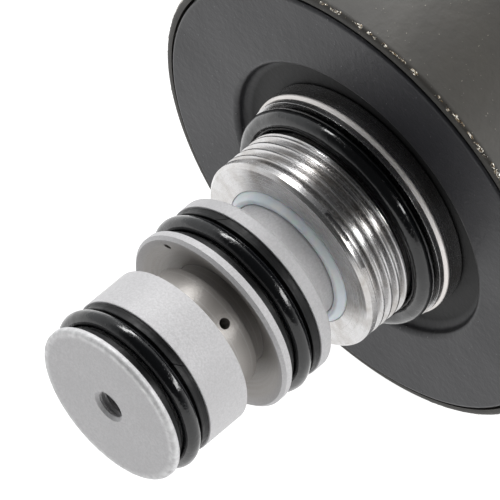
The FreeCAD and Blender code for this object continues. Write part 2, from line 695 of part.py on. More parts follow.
def screw_holes():
    holes = [along_y(x, SCREW_R + SEAL_GAP, SCREW_END - PART_GAP, BASE_TOP) for x in screw_places()]
    return Part.makeCompound(holes)


def connector_screws():
    screws = []
    for x in screw_places():
        shank = along_y(x, SCREW_R, SCREW_END, BASE_TOP)
        head = along_y(x, SCREW_HEAD_R, BASE_TOP, BASE_TOP + SCREW_HEAD_L)
        drive = Part.makePolygon([
            FreeCAD.Vector(x + SCREW_HEX_R * math.cos(n * math.pi / 3), BASE_TOP + SCREW_HEX_FLOOR,
                           SCREW_HEX_R * math.sin(n * math.pi / 3))
            for n in range(7)
        ])
        socket = Part.Face(drive).extrude(FreeCAD.Vector(0, SCREW_HEAD_L, 0))
        screws.append(shank.fuse(head).removeSplitter().cut(socket))
    return Part.makeCompound(screws)


def terminal_pins():
    tip = SHELL_TOP - TERMINAL_TIP_BACK
    return Part.makeCompound([
        block(X_CONNECTOR + side * TERMINAL_PITCH / 2, 0, TERMINAL_FOOT, tip, TERMINAL_T, TERMINAL_W)
        for side in (-1, 1)
    ])


def connector_gasket():
    pad = block(X_CONNECTOR, 0, 0, CAN_R + GASKET_T, BASE_X, BASE_Z)
    pad = pad.cut(rod(CAN_FRONT, X_CAN_REAR, CAN_R + SEAL_GAP))
    hole = block(X_CONNECTOR, 0, 0, CAN_R + OVERCUT, NECK_X + 2 * PART_GAP, NECK_Z + 2 * PART_GAP)
    return pad.cut(hole).cut(screw_holes())


def connector_socket():
    base = block(X_CONNECTOR, 0, CAN_R + GASKET_T, BASE_TOP, BASE_X, BASE_Z)
    neck = block(X_CONNECTOR, 0, 0, CAN_R + GASKET_T, NECK_X, NECK_Z)
    neck = neck.cut(rod(CAN_FRONT, X_CAN_REAR, MOULDING_R + SEAL_GAP))
    shell = block(X_CONNECTOR, 0, BASE_TOP, SHELL_TOP, SHELL_X, SHELL_Z)
    upright = [e for e in shell.Edges if abs(e.tangentAt(e.FirstParameter).y) > 0.9]
    shell = shell.makeFillet(SHELL_ROUND, upright)
    body = base.fuse(neck).fuse(shell).removeSplitter()
    wall = 2 * SHELL_WALL
    socket = block(X_CONNECTOR, 0, SHELL_TOP - SOCKET_DEPTH, SHELL_TOP, SHELL_X - wall, SHELL_Z - wall)
    return body.cut(socket).cut(terminal_pins()).cut(screw_holes())


# ---------------------------------------------------------------- output


def nodes():
    parts = {
        "nose_plug": nose_plug(),
        "valve_sleeve": valve_sleeve(),
        "ptfe_seal_ring": ptfe_seal_ring(),
        "threaded_adapter": threaded_adapter(),
        "spool": spool(),
        "spring_shim": spring_shim(),
        "return_spring": return_spring(),
        "pole_piece": pole_piece(),
        "front_bearing": front_bearing(),
        "air_gap_shim": air_gap_shim(),
        "guide_tube": guide_tube(),
        "armature": armature(),
        "push_pin": push_pin(),
        "end_plug": end_plug(),
        "rear_bearing": rear_bearing(),
        "end_plug_o_ring": end_plug_o_ring(),
        "override_pin": override_pin(),
        "override_o_ring": override_o_ring(),
        "override_spring": override_spring(),
        "front_plate": front_plate(),
        "coil_front_seal": coil_front_seal(),
        "coil_can": coil_can(),
        "coil_bobbin": coil_bobbin(),
        "copper_winding": copper_winding(),
        "coil_moulding": coil_moulding(),
        "coil_nut": coil_nut(),
        "nut_o_ring": nut_o_ring(),
        "connector_gasket": connector_gasket(),
        "connector_socket": connector_socket(),
        "connector_screws": connector_screws(),
        "terminal_pins": terminal_pins(),
    }
    parts.update(cartridge_seals())
    return parts


os.makedirs("parts", exist_ok=True)
for node, shape in nodes().items():
    if not shape.isValid() or not shape.Solids:
        raise ValueError(node + " is not a valid solid")
    shape.exportStep("parts/" + node + ".step")
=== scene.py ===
import json
import math

import bmesh
import bpy
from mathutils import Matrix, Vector, noise


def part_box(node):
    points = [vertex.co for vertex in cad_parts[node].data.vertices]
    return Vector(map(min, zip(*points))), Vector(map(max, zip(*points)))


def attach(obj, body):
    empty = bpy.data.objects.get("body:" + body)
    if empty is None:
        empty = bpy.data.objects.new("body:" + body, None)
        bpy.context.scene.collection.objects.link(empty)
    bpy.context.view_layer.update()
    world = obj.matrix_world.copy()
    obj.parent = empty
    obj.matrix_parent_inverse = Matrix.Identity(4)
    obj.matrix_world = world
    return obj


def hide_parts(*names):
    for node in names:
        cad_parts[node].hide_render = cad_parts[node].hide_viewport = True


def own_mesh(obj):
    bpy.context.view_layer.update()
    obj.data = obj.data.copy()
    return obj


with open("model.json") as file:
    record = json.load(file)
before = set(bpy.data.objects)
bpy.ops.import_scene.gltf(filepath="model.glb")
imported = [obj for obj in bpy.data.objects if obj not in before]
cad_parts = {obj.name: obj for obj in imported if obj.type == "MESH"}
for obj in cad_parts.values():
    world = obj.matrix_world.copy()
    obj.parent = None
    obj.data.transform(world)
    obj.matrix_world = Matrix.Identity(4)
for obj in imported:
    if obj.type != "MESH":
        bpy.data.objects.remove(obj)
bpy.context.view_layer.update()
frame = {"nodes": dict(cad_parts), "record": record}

# A screw-in solenoid cartridge valve lying on its coil. The valve axis is X, and the nose points to -X.
# Sizes are in millimetres until a mesh is made, which is in metres.

MM = 0.001

# ---------------------------------------------------------------- places, worked out from the frame


class Span:
    """Where a turned node starts and ends along the valve axis, and its largest radius."""

    def __init__(self, node):
        low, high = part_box(node)
        self.start = low.x / MM
        self.end = high.x / MM
        self.radius = high.z / MM
        self.middle = (self.start + self.end) / 2


NOSE = Span("nose_plug")
SLEEVE = Span("valve_sleeve")
ADAPTER = Span("threaded_adapter")
CAN = Span("coil_can")
WHITE_RING = Span("ptfe_seal_ring")
PLATE = Span("front_plate")

# ---------------------------------------------------------------- sizes that the boxes don't give

SEAL_GAP = 0.02
NOSE_FLOOR_R = 10.13
NOSE_RING_BORE_R = 10.16
SLEEVE_RING_BORE_R = 11.72
NOSE_ROUND = 0.6
EDGE_ROUND = 0.14
NECK_L = 5.25
NECK_R = 9.3
NECK_ROUND = 0.6
PLUG_SPIGOT_R = 7.97
CHAMBER_R = 5.6
CHAMBER_DEPTH = 9.0
PORT_MINOR_R = 2.1
PORT_MAJOR_R = 2.5
PORT_PITCH = 0.8
PORT_COUNTERSINK = 0.45
BLEED_R = 0.8
BLEED_FROM_NECK_END = 2.65
BLEED_ANGLE = math.radians(126.7)
DISH_DEPTH = 2.2
BORE_ROUND = 0.2
FLOOR_ROUND = 0.15

THREAD_R = 15.0
THREAD_PITCH = 1.5
THREAD_DEPTH = 0.92
THREAD_LEAD_IN = 1.4
THREAD_L = 7.45
THREAD_WEAR = 0.008
ADAPTER_CHAMFER = 0.5
COLLAR_CHAMFER = 0.4
UNDERCUT_R = 14.45
STEP_R = 17.65
STEP_L = 0.85
COLLAR_L = 4.15
TUBE_BORE_R = 11.5
POLE_SPIGOT_R = 8.0
SLEEVE_SEAT_R = 9.03
SLEEVE_TAIL = 3.2
PTFE_SEAT_R = 10.7
PTFE_SEAT_DEPTH = 2.6
WAIST_R = 9.0

PLATE_RECESS_GAP = 0.05
PLATE_RECESS_R = 22.0
PLATE_RIM_STEP = 0.3
PLATE_LEDGE = 3.9
COIL_BORE_R = 13.1
COIL_SEAL_W = 2.0

RETURN_WIRE = 0.9
RETURN_TURNS = 8.0
OVERRIDE_WIRE = 0.5
OVERRIDE_TURNS = 5.0

# ---------------------------------------------------------------- camera

VIEW_AZIMUTH = math.radians(-46.37)
VIEW_ELEVATION = math.radians(52.24)
VIEW_LENS = 648.0
VIEW_DISTANCE = 1216.3 * MM
VIEW_TARGET = Vector((-11.865, 6.291, -3.289)) * MM


def view_axes():
    """Right, up and backward directions of the camera."""
    level = math.cos(VIEW_ELEVATION)
    back = Vector((math.sin(VIEW_AZIMUTH) * level, -math.cos(VIEW_AZIMUTH) * level, math.sin(VIEW_ELEVATION)))
    right = Vector((math.cos(VIEW_AZIMUTH), math.sin(VIEW_AZIMUTH), 0.0))
    return right, back.cross(right), back


def make_camera():
    back = view_axes()[2]
    data = bpy.data.cameras.new("camera")
    data.lens = VIEW_LENS
    data.clip_start = 0.01
    data.clip_end = 20.0
    camera = bpy.data.objects.new("camera", data)
    camera.location = VIEW_TARGET + back * VIEW_DISTANCE
    camera.rotation_mode = "QUATERNION"
    camera.rotation_quaternion = (-back).to_track_quat("-Z", "Y")
    bpy.context.collection.objects.link(camera)
    bpy.context.scene.camera = camera


# ---------------------------------------------------------------- node helper


def add(tree, kind, inputs=(), **settings):
    """Adds a node. Settings name its properties; each input takes a value, a socket or a node."""
    node = tree.nodes.new(kind)
    for key, value in settings.items():
        setattr(node, key, value)
    for key, value in dict(inputs).items():
        if isinstance(value, bpy.types.Node):
            value = next(socket for socket in value.outputs if socket.enabled)
        if isinstance(value, bpy.types.NodeSocket):
            tree.links.new(value, node.inputs[key])
        else:
            node.inputs[key].default_value = value
    return node


# ---------------------------------------------------------------- light

STUDIO_BRIGHT = 1.0
STUDIO_DARK = 0.06
STRIP_DISTANCE = 0.9
STRIP_LENGTH = 0.9
STRIP_WIDTH = 0.18
STRIPS = {
    "strip_above": ((-0.05, 0.975, 0.215), 7.5),
    "strip_right": ((0.846, 0.123, 0.519), 6.0),
}


def strip_light(name, toward, watts):
    """A strip softbox laid along the valve, its direction in the camera's right, up and backward terms."""
    right, up, back = view_axes()
    direction = (right * toward[0] + up * toward[1] + back * toward[2]).normalized()
    data = bpy.data.lights.new(name, "AREA")
    data.shape = "RECTANGLE"
    data.size = STRIP_LENGTH
    data.size_y = STRIP_WIDTH
    data.energy = watts
    lamp = bpy.data.objects.new(name, data)
    lamp.location = direction * STRIP_DISTANCE
    along = Vector((1.0, 0.0, 0.0))
    along = (along - direction * along.dot(direction)).normalized()
    across = direction.cross(along)
    turn = lamp.rotation_euler.to_matrix()
    turn.col[0] = along
    turn.col[1] = across
    turn.col[2] = direction
    lamp.rotation_mode = "QUATERNION"
    lamp.rotation_quaternion = turn.to_quaternion()
    bpy.context.collection.objects.link(lamp)


def make_studio():
    """A pale room with a dark patch behind the camera, which shiny curved metal shows as its dark middle."""
    world = bpy.data.worlds.new("studio")
    bpy.context.scene.world = world
    world.use_nodes = True
    tree = world.node_tree
    direction = add(tree, "ShaderNodeTexCoord").outputs["Generated"]
    facing = add(tree, "ShaderNodeVectorMath", {0: direction, 1: view_axes()[2]}, operation="DOT_PRODUCT")
    shade = add(tree, "ShaderNodeMapRange", {
        "Value": facing.outputs["Value"], "From Min": 0.1, "From Max": 0.7,
        "To Min": STUDIO_BRIGHT, "To Max": STUDIO_DARK,
    }, interpolation_type="SMOOTHSTEP")
    tree.links.new(shade.outputs["Result"], tree.nodes["Background"].inputs["Strength"])
    tree.nodes["Background"].inputs["Color"].default_value = (0.97, 0.985, 1.0, 1.0)
    bpy.context.scene.view_settings.view_transform = "Standard"


# ---------------------------------------------------------------- materials


def srgb(code):
    """A hex colour turned to the linear values that shaders take."""
    parts = [int(code[i:i + 2], 16) / 255 for i in (1, 3, 5)]
    linear = [p / 12.92 if p <= 0.04045 else ((p + 0.055) / 1.055) ** 2.4 for p in parts]
    return (*linear, 1.0)


def surface(name, color, metallic, roughness, layers, **shader_values):
    """A material of one base and layers over it.

    Each layer is a noise pattern whose features are size mm across. Between low and high it brings in its own
    colour and roughness, and it stands relief mm high. With rings, the pattern runs round the valve axis as a
    turning tool leaves it. Each zone of (axis, from, to) in mm holds the layer to where that coordinate, X
    along the valve or R out from its axis, has passed from one value to the other.
    """
    made = bpy.data.materials.new(name)
    made.use_nodes = True
    tree = made.node_tree
    shader = tree.nodes["Principled BSDF"]
    shader.inputs["Base Color"].default_value = srgb(color)
    shader.inputs["Metallic"].default_value = metallic
    shader.inputs["Roughness"].default_value = roughness
    for key, value in shader_values.items():
        shader.inputs[key.replace("_", " ").title().replace("Ior", "IOR")].default_value = value
    place = add(tree, "ShaderNodeTexCoord").outputs["Object"]
    apart = add(tree, "ShaderNodeSeparateXYZ", {"Vector": place})
    across = add(tree, "ShaderNodeCombineXYZ", {"X": apart.outputs["Y"], "Y": apart.outputs["Z"]})
    radius = add(tree, "ShaderNodeVectorMath", {0: across}, operation="LENGTH").outputs["Value"]
    rings = add(tree, "ShaderNodeCombineXYZ", {"X": apart.outputs["X"], "Y": radius})
    colour = shine = normal = None
    for layer in layers:
        where = rings if layer.get("rings") else place
        scale = 1.0 / (layer["size"] * MM)
        pattern = add(tree, "ShaderNodeTexNoise", {
            "Vector": where, "Scale": scale, "Detail": layer.get("detail", 2.0), "Roughness": 0.6,
        }).outputs["Fac"]
        band = add(tree, "ShaderNodeMapRange", {
            "Value": pattern, "From Min": layer.get("low", 0.35), "From Max": layer.get("high", 0.65),
        })
        for along, zone_start, zone_end in layer.get("zones", ()):
            reached = add(tree, "ShaderNodeMapRange", {
                "Value": apart.outputs["X"] if along == "X" else radius,
                "From Min": zone_start * MM, "From Max": zone_end * MM,
            })
            band = add(tree, "ShaderNodeMath", {0: band, 1: reached}, operation="MULTIPLY")
        if "colour" in layer:
            colour = add(tree, "ShaderNodeMix", {
                0: band, 6: colour or srgb(color), 7: srgb(layer["colour"]),
            }, data_type="RGBA")
        if "rough" in layer:
            shine = add(tree, "ShaderNodeMix", {0: band, 2: shine or roughness, 3: layer["rough"]})
        if "relief" in layer:
            bump = {"Height": band, "Distance": layer["relief"] * MM}
            if normal:
                bump["Normal"] = normal
            normal = add(tree, "ShaderNodeBump", bump)
    if colour:
        tree.links.new(colour.outputs[2], shader.inputs["Base Color"])
    if shine:
        tree.links.new(shine.outputs[0], shader.inputs["Roughness"])
    if normal:
        tree.links.new(normal.outputs["Normal"], shader.inputs["Normal"])
    return made


# Free-cutting steel, turned and then bead blasted: even pale grey, a fine dimpled grain, no mirror image.
# The nose is handled and knocked, so its end and rim are rubbed bright and streaky. The neck and the dish
# keep the smoother sheen of the turning tool, and their colour is darkened as painted shade where they lie
# sunk behind the land.
BLASTED_STEEL = surface("bead_blasted_steel", "#C5C4C5", 0.35, 0.7, [
    {"size": 9.0, "detail": 4.0, "colour": "#BFBEBF"},
    {"size": 0.3, "detail": 3.0, "colour": "#B6B5B6", "relief": 0.014},
    {"size": 0.7, "rings": True, "detail": 3.0, "low": 0.5, "high": 0.75, "relief": 0.004},
    {"size": 1.1, "detail": 5.0, "low": 0.3, "high": 0.75, "colour": "#DEDEDE", "rough": 0.42, "zones": [
        ("R", NOSE.radius - 1.3, NOSE.radius - 0.6), ("X", NOSE.start + 1.0, NOSE.start + 0.6),
    ]},
    # Painted shade: the neck and the dish are darkened to a brown grey, with a smoother turned sheen.
    {"size": 0.6, "rings": True, "detail": 3.0, "low": 0.1, "high": 0.5, "colour": "#9A9692", "rough": 0.36,
     "zones": [
         ("X", SLEEVE.start - NECK_L - 0.1, SLEEVE.start - NECK_L),
         ("X", SLEEVE.start + DISH_DEPTH + 0.2, SLEEVE.start + DISH_DEPTH + 0.1),
         ("R", SLEEVE.radius - 0.6, SLEEVE.radius - 2.0),
     ]},
])
# Turned steel under clear zinc: bright and neutral, with rings that draw out highlights, a little stained.
TURNED_STEEL = surface("turned_zinc_plated_steel", "#C9C8C8", 1.0, 0.2, [
    {"size": 4.0, "detail": 4.0, "low": 0.45, "high": 0.75, "colour": "#A9A49F"},
    {"size": 0.25, "rings": True, "detail": 3.0, "rough": 0.3, "relief": 0.004},
    {"size": 0.5, "detail": 3.0, "low": 0.6, "high": 0.75, "rough": 0.36, "relief": 0.003},
    # Painted highlight: the chamfer at the collar's rim is given a near-white, matt band.
    {"size": 2.0, "detail": 4.0, "low": 0.1, "high": 0.4, "colour": "#EFEBE8", "rough": 0.6, "zones": [
        ("X", STEP_L - 0.1, STEP_L), ("X", STEP_L + 0.7, STEP_L + 0.55), ("R", STEP_R - 0.3, STEP_R - 0.2),
    ]},
])
# Moulded nitrile rubber under a film of oil: near black, wet highlights that break up into specks.
OILED_RUBBER = surface("oiled_nitrile_rubber", "#08090B", 0.0, 0.16, [
    {"size": 1.7, "detail": 2.0, "rough": 0.18, "relief": 0.02},
    {"size": 0.4, "detail": 2.0, "low": 0.6, "high": 0.7, "rough": 0.1, "relief": 0.012},
], coat_weight=0.3, coat_roughness=0.08, specular_ior_level=0.4)
# Hard black polyurethane: smooth and dry, a dull line along each edge.
BACKUP_PLASTIC = surface("black_polyurethane", "#050506", 0.0, 0.4, [
    {"size": 1.2, "detail": 3.0, "rough": 0.55, "relief": 0.02},
    {"size": 0.3, "rings": True, "relief": 0.02},
], specular_ior_level=0.25)
# White PTFE: waxy and slightly see-through, so light sinks in and its edges look soft.
WHITE_PTFE = surface("white_ptfe", "#F4FAFE", 0.0, 0.4, [
    {"size": 1.3, "rough": 0.5, "relief": 0.02},
    {"size": 5.0, "colour": "#E4EFF6"},
], subsurface_weight=0.3, subsurface_scale=0.6 * MM)
# Black powder coat on the flange plate: satin, with a faint orange peel, dust and rubbed places.
SATIN_PAINT = surface("satin_black_powder_coat", "#202024", 0.0, 0.44, [
    {"size": 16.0, "detail": 4.0, "colour": "#27272B", "rough": 0.38},
    {"size": 0.9, "relief": 0.02},
    {"size": 0.45, "detail": 1.0, "low": 0.74, "high": 0.78, "colour": "#6A6A6D", "rough": 0.7},
    # Painted shade: the floor of the recess round the collar is darkened almost to black and made duller.
    {"size": 8.0, "low": 0.0, "high": 0.1, "colour": "#09090A", "rough": 0.6, "zones": [
        ("R", PLATE_RECESS_R + 0.2, PLATE_RECESS_R - 1.0),
    ]},
], specular_ior_level=0.4)
# Black enamel sprayed on the rolled can: an olive-brown cast where it is thin over the steel.
CAN_PAINT = surface("black_enamel", "#2C2A26", 0.0, 0.62, [
    {"size": 15.0, "detail": 4.0, "colour": "#35322C", "rough": 0.55},
    {"size": 1.6, "relief": 0.02},
    {"size": 0.4, "detail": 1.0, "low": 0.74, "high": 0.79, "colour": "#7A766C", "rough": 0.7},
])
# The thick, chipped bead of enamel at the can's rim: glossy, with bare brown and brassy specks, and
# near-white specks that are painted glints to make it sparkle.
RIM_PAINT = surface("chipped_enamel", "#2A2219", 0.2, 0.22, [
    {"size": 0.5, "detail": 4.0, "low": 0.45, "high": 0.55, "colour": "#7E6C52", "relief": 0.12},
    # Painted glints: small near-white, glossy specks.
    {"size": 0.3, "detail": 4.0, "low": 0.52, "high": 0.58, "colour": "#FAF4E6", "rough": 0.12},
], coat_weight=0.6, coat_roughness=0.1)
# Glass-filled black nylon: the fine spark-eroded texture of its mould, a low sheen.
BLACK_NYLON = surface("moulded_black_nylon", "#1B1B1D", 0.0, 0.5, [
    {"size": 0.4, "detail": 3.0, "rough": 0.6, "relief": 0.02},
    {"size": 8.0, "detail": 3.0, "colour": "#222224"},
])
# Unpigmented glass-filled nylon of the bobbin: cream, matt, with faint flow marks.
NATURAL_NYLON = surface("natural_nylon", "#D2C8AE", 0.0, 0.55, [
    {"size": 4.0, "colour": "#C9BD9E"},
    {"size": 0.5, "relief": 0.01},
])
# Turned soft iron of the magnet: grey, dull rings.
SOFT_IRON = surface("turned_soft_iron", "#8F8F90", 1.0, 0.34, [
    {"size": 0.35, "rings": True, "rough": 0.44, "relief": 0.008},
    {"size": 3.0, "detail": 3.0, "colour": "#838383"},
])
# Sintered bronze: warm, with fine pores.
BEARING_BRONZE = surface("sintered_bronze", "#C58A4A", 1.0, 0.34, [
    {"size": 0.3, "detail": 2.0, "low": 0.6, "high": 0.7, "colour": "#6E4A26", "relief": -0.02},
])
# Drawn stainless tube: bright with faint lengthwise haze.
STAINLESS = surface("drawn_stainless_steel", "#B9B9BA", 1.0, 0.24, [
    {"size": 0.4, "rings": True, "rough": 0.32, "relief": 0.004},
    {"size": 6.0, "detail": 3.0, "rough": 0.3},
])
# Hardened and ground steel of the spool and pin: almost a mirror, with hair-fine rings.
GROUND_STEEL = surface("ground_hard_steel", "#C4C5C8", 1.0, 0.12, [
    {"size": 0.2, "rings": True, "rough": 0.2, "relief": 0.002},
])
# Oil-tempered spring wire: dark grey-brown scale with drawn sheen.
SPRING_WIRE = surface("oil_tempered_wire", "#6B6762", 1.0, 0.34, [
    {"size": 1.0, "detail": 4.0, "colour": "#4E4A45", "rough": 0.45},
])
# Enamelled copper wire: warm metal under a clear varnish.
COPPER = surface("enamelled_copper_wire", "#B8602F", 1.0, 0.3, [
    {"size": 0.6, "rings": True, "colour": "#8E4522", "relief": 0.1},
], coat_weight=0.8)
# Zinc-plated screw: bluish grey, slightly cloudy.
ZINC = surface("bright_zinc_plate", "#BFC1C4", 1.0, 0.28, [
    {"size": 1.5, "detail": 3.0, "colour": "#A9ABAE", "rough": 0.38},
])
# Tin over brass: soft warm white metal with fine wipe marks.
TIN = surface("tinned_brass", "#D0C8B4", 1.0, 0.26, [
    {"size": 0.9, "detail": 3.0, "colour": "#B9AF98", "rough": 0.34},
])

FINISHES = {
    "valve_steel": BLASTED_STEEL, "adapter_steel": TURNED_STEEL, "seal_rubber": OILED_RUBBER,
    "backup_ring_plastic": BACKUP_PLASTIC, "white_ptfe": WHITE_PTFE, "magnet_iron": SOFT_IRON,
    "bearing_bronze": BEARING_BRONZE, "tube_stainless": STAINLESS, "hardened_steel": GROUND_STEEL,
    "spring_wire": SPRING_WIRE, "black_paint": SATIN_PAINT, "coil_paint": CAN_PAINT,
    "bobbin_nylon": NATURAL_NYLON, "winding_copper": COPPER, "black_nylon": BLACK_NYLON,
    "zinc_screw": ZINC, "tinned_brass": TIN,
}


def finish_cad_nodes():
    """Gives every CAD node the material of its slot."""
    for part in frame["record"]["subparts"]:
        mesh = frame["nodes"][part["node"]].data
        mesh.materials.clear()
        mesh.materials.append(FINISHES[part["material_slot"]])


# ---------------------------------------------------------------- mesh helpers

SEGMENTS = 256
RING_SEGMENTS = 288
PLATE_SEGMENTS = 384
RIM_SEGMENTS = 1100
SHARP = math.radians(38)
ROWS_PER_PITCH = 22


def place_piece(mesh, name, body, slot, replaced=(), finish=None):
    """Links a finished mesh as a piece that rides on a body."""
    mesh.name = name
    mesh.materials.clear()
    mesh.materials.append(finish or FINISHES[slot])
    mesh.shade_smooth()
    mesh.set_sharp_from_angle(angle=SHARP)
    piece = bpy.data.objects.new(name, mesh)
    bpy.context.collection.objects.link(piece)
    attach(piece, body)
    if replaced:
        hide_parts(*replaced)
    return piece


def rounded(before, corner, after, radius, steps=5, shoulder=0.03):
    """The points of a rounded corner, and one more each side that keeps the flats flat when shaded smooth."""
    corner = Vector(corner)
    to_before = (Vector(before) - corner).normalized()
    to_after = (Vector(after) - corner).normalized()
    half = to_before.angle(to_after) / 2
    run = radius / math.tan(half)
    centre = corner + (to_before + to_after).normalized() * (radius / math.sin(half))
    start = corner + to_before * run - centre
    end = corner + to_after * run - centre
    turn = start.angle(end)
    points = [corner + to_before * (run + shoulder)]
    for n in range(steps + 1):
        t = n / steps
        points.append(centre + (start * math.sin((1 - t) * turn) + end * math.sin(t * turn)) / math.sin(turn))
    points.append(corner + to_after * (run + shoulder))
    return [(p.x, p.y) for p in points]


def outline(points, closed=True):
    """Turns (x, radius, corner radius) points to plain (x, radius) points with their corners rounded."""
    made = []
    for n, (x, r, corner) in enumerate(points):
        if corner and (closed or 0 < n < len(points) - 1):
            made += rounded(points[n - 1][:2], (x, r), points[(n + 1) % len(points)][:2], corner)
        else:
            made.append((x, r))
    return made


def spun(points, closed=True, wobble=None, segments=SEGMENTS):
    """Spins an outline about the valve axis, into a bmesh in metres."""
    bm = bmesh.new()
    rings = []
    for n in range(segments):
        angle = 2 * math.pi * n / segments
        ring = []
        for x, r in points:
            place = Vector((x, r * math.cos(angle), r * math.sin(angle)))
            if wobble:
                place += wobble(place)
            ring.append(bm.verts.new(place * MM))
        rings.append(ring)
    edges = len(points) if closed else len(points) - 1
    for n in range(segments):
        here, there = rings[n], rings[(n + 1) % segments]
        for k in range(edges):
            k2 = (k + 1) % len(points)
            bm.faces.new((here[k], here[k2], there[k2], there[k]))
    return bm


def to_mesh(bm, name):
    """Closes seams, turns every face outwards and gives a mesh."""
    bmesh.ops.remove_doubles(bm, verts=bm.verts, dist=2e-6)
    bmesh.ops.recalc_face_normals(bm, faces=bm.faces)
    mesh = bpy.data.meshes.new(name)
    bm.to_mesh(mesh)
    bm.free()
    return mesh


def uneven(size, depth, seed):
    """A soft wobble for moulded pieces: how far each point is moved."""
    shift = Vector((seed * 7.3, seed * 3.1, seed * 5.7))

    def move(place):
        return noise.noise_vector(place / size + shift) * depth

    return move


def drilled(mesh, x, angle, radius, r0, r1, name):
    """Cuts a hole along a radius of the valve into a mesh."""
    bm = bmesh.new()
    bmesh.ops.create_cone(bm, cap_ends=True, segments=48, radius1=radius * MM, radius2=radius * MM,
                          depth=(r1 - r0) * MM)
    outward = Vector((0.0, math.cos(angle), math.sin(angle)))
    turn = outward.to_track_quat("Z", "X")
    for vertex in bm.verts:
        vertex.co = turn @ vertex.co + outward * ((r0 + r1) / 2 * MM) + Vector((x * MM, 0.0, 0.0))
    tool = bpy.data.objects.new(name + "_drill", to_mesh(bm, name + "_drill"))
    blank = bpy.data.objects.new(name + "_blank", mesh)
    for item in (tool, blank):
        bpy.context.collection.objects.link(item)
    cut = blank.modifiers.new("cut", "BOOLEAN")
    cut.operation = "DIFFERENCE"
    cut.solver = "EXACT"
    cut.object = tool
    made = evaluated_mesh(blank)
    bpy.data.objects.remove(tool)
    bpy.data.objects.remove(blank)
    return made


def evaluated_mesh(item):
    """The plain mesh that an object's modifiers give."""
    graph = bpy.context.evaluated_depsgraph_get()
    graph.update()
    return bpy.data.meshes.new_from_object(item.evaluated_get(graph))


# ---------------------------------------------------------------- geometry nodes


def new_tree(name, sizes):
    """A geometry tree with named float inputs."""
    tree = bpy.data.node_groups.new(name, "GeometryNodeTree")
    tree.interface.new_socket("Geometry", in_out="OUTPUT", socket_type="NodeSocketGeometry")
    for size in sizes:
        tree.interface.new_socket(size, in_out="INPUT", socket_type="NodeSocketFloat")
    tree.interface.new_socket("Finish", in_out="INPUT", socket_type="NodeSocketMaterial")
    return tree, add(tree, "NodeGroupInput").outputs


def grown(tree, values):
    """Runs a tree on an empty object with its inputs set, and gives the mesh."""
    seed = bpy.data.objects.new(tree.name, bpy.data.meshes.new(tree.name))
    bpy.context.collection.objects.link(seed)
    grow = seed.modifiers.new("grow", "NODES")
    grow.node_group = tree
    for item in tree.interface.items_tree:
        if item.in_out == "INPUT":
            grow[item.identifier] = values[item.name]
    mesh = evaluated_mesh(seed)
    bpy.data.objects.remove(seed)
    return mesh


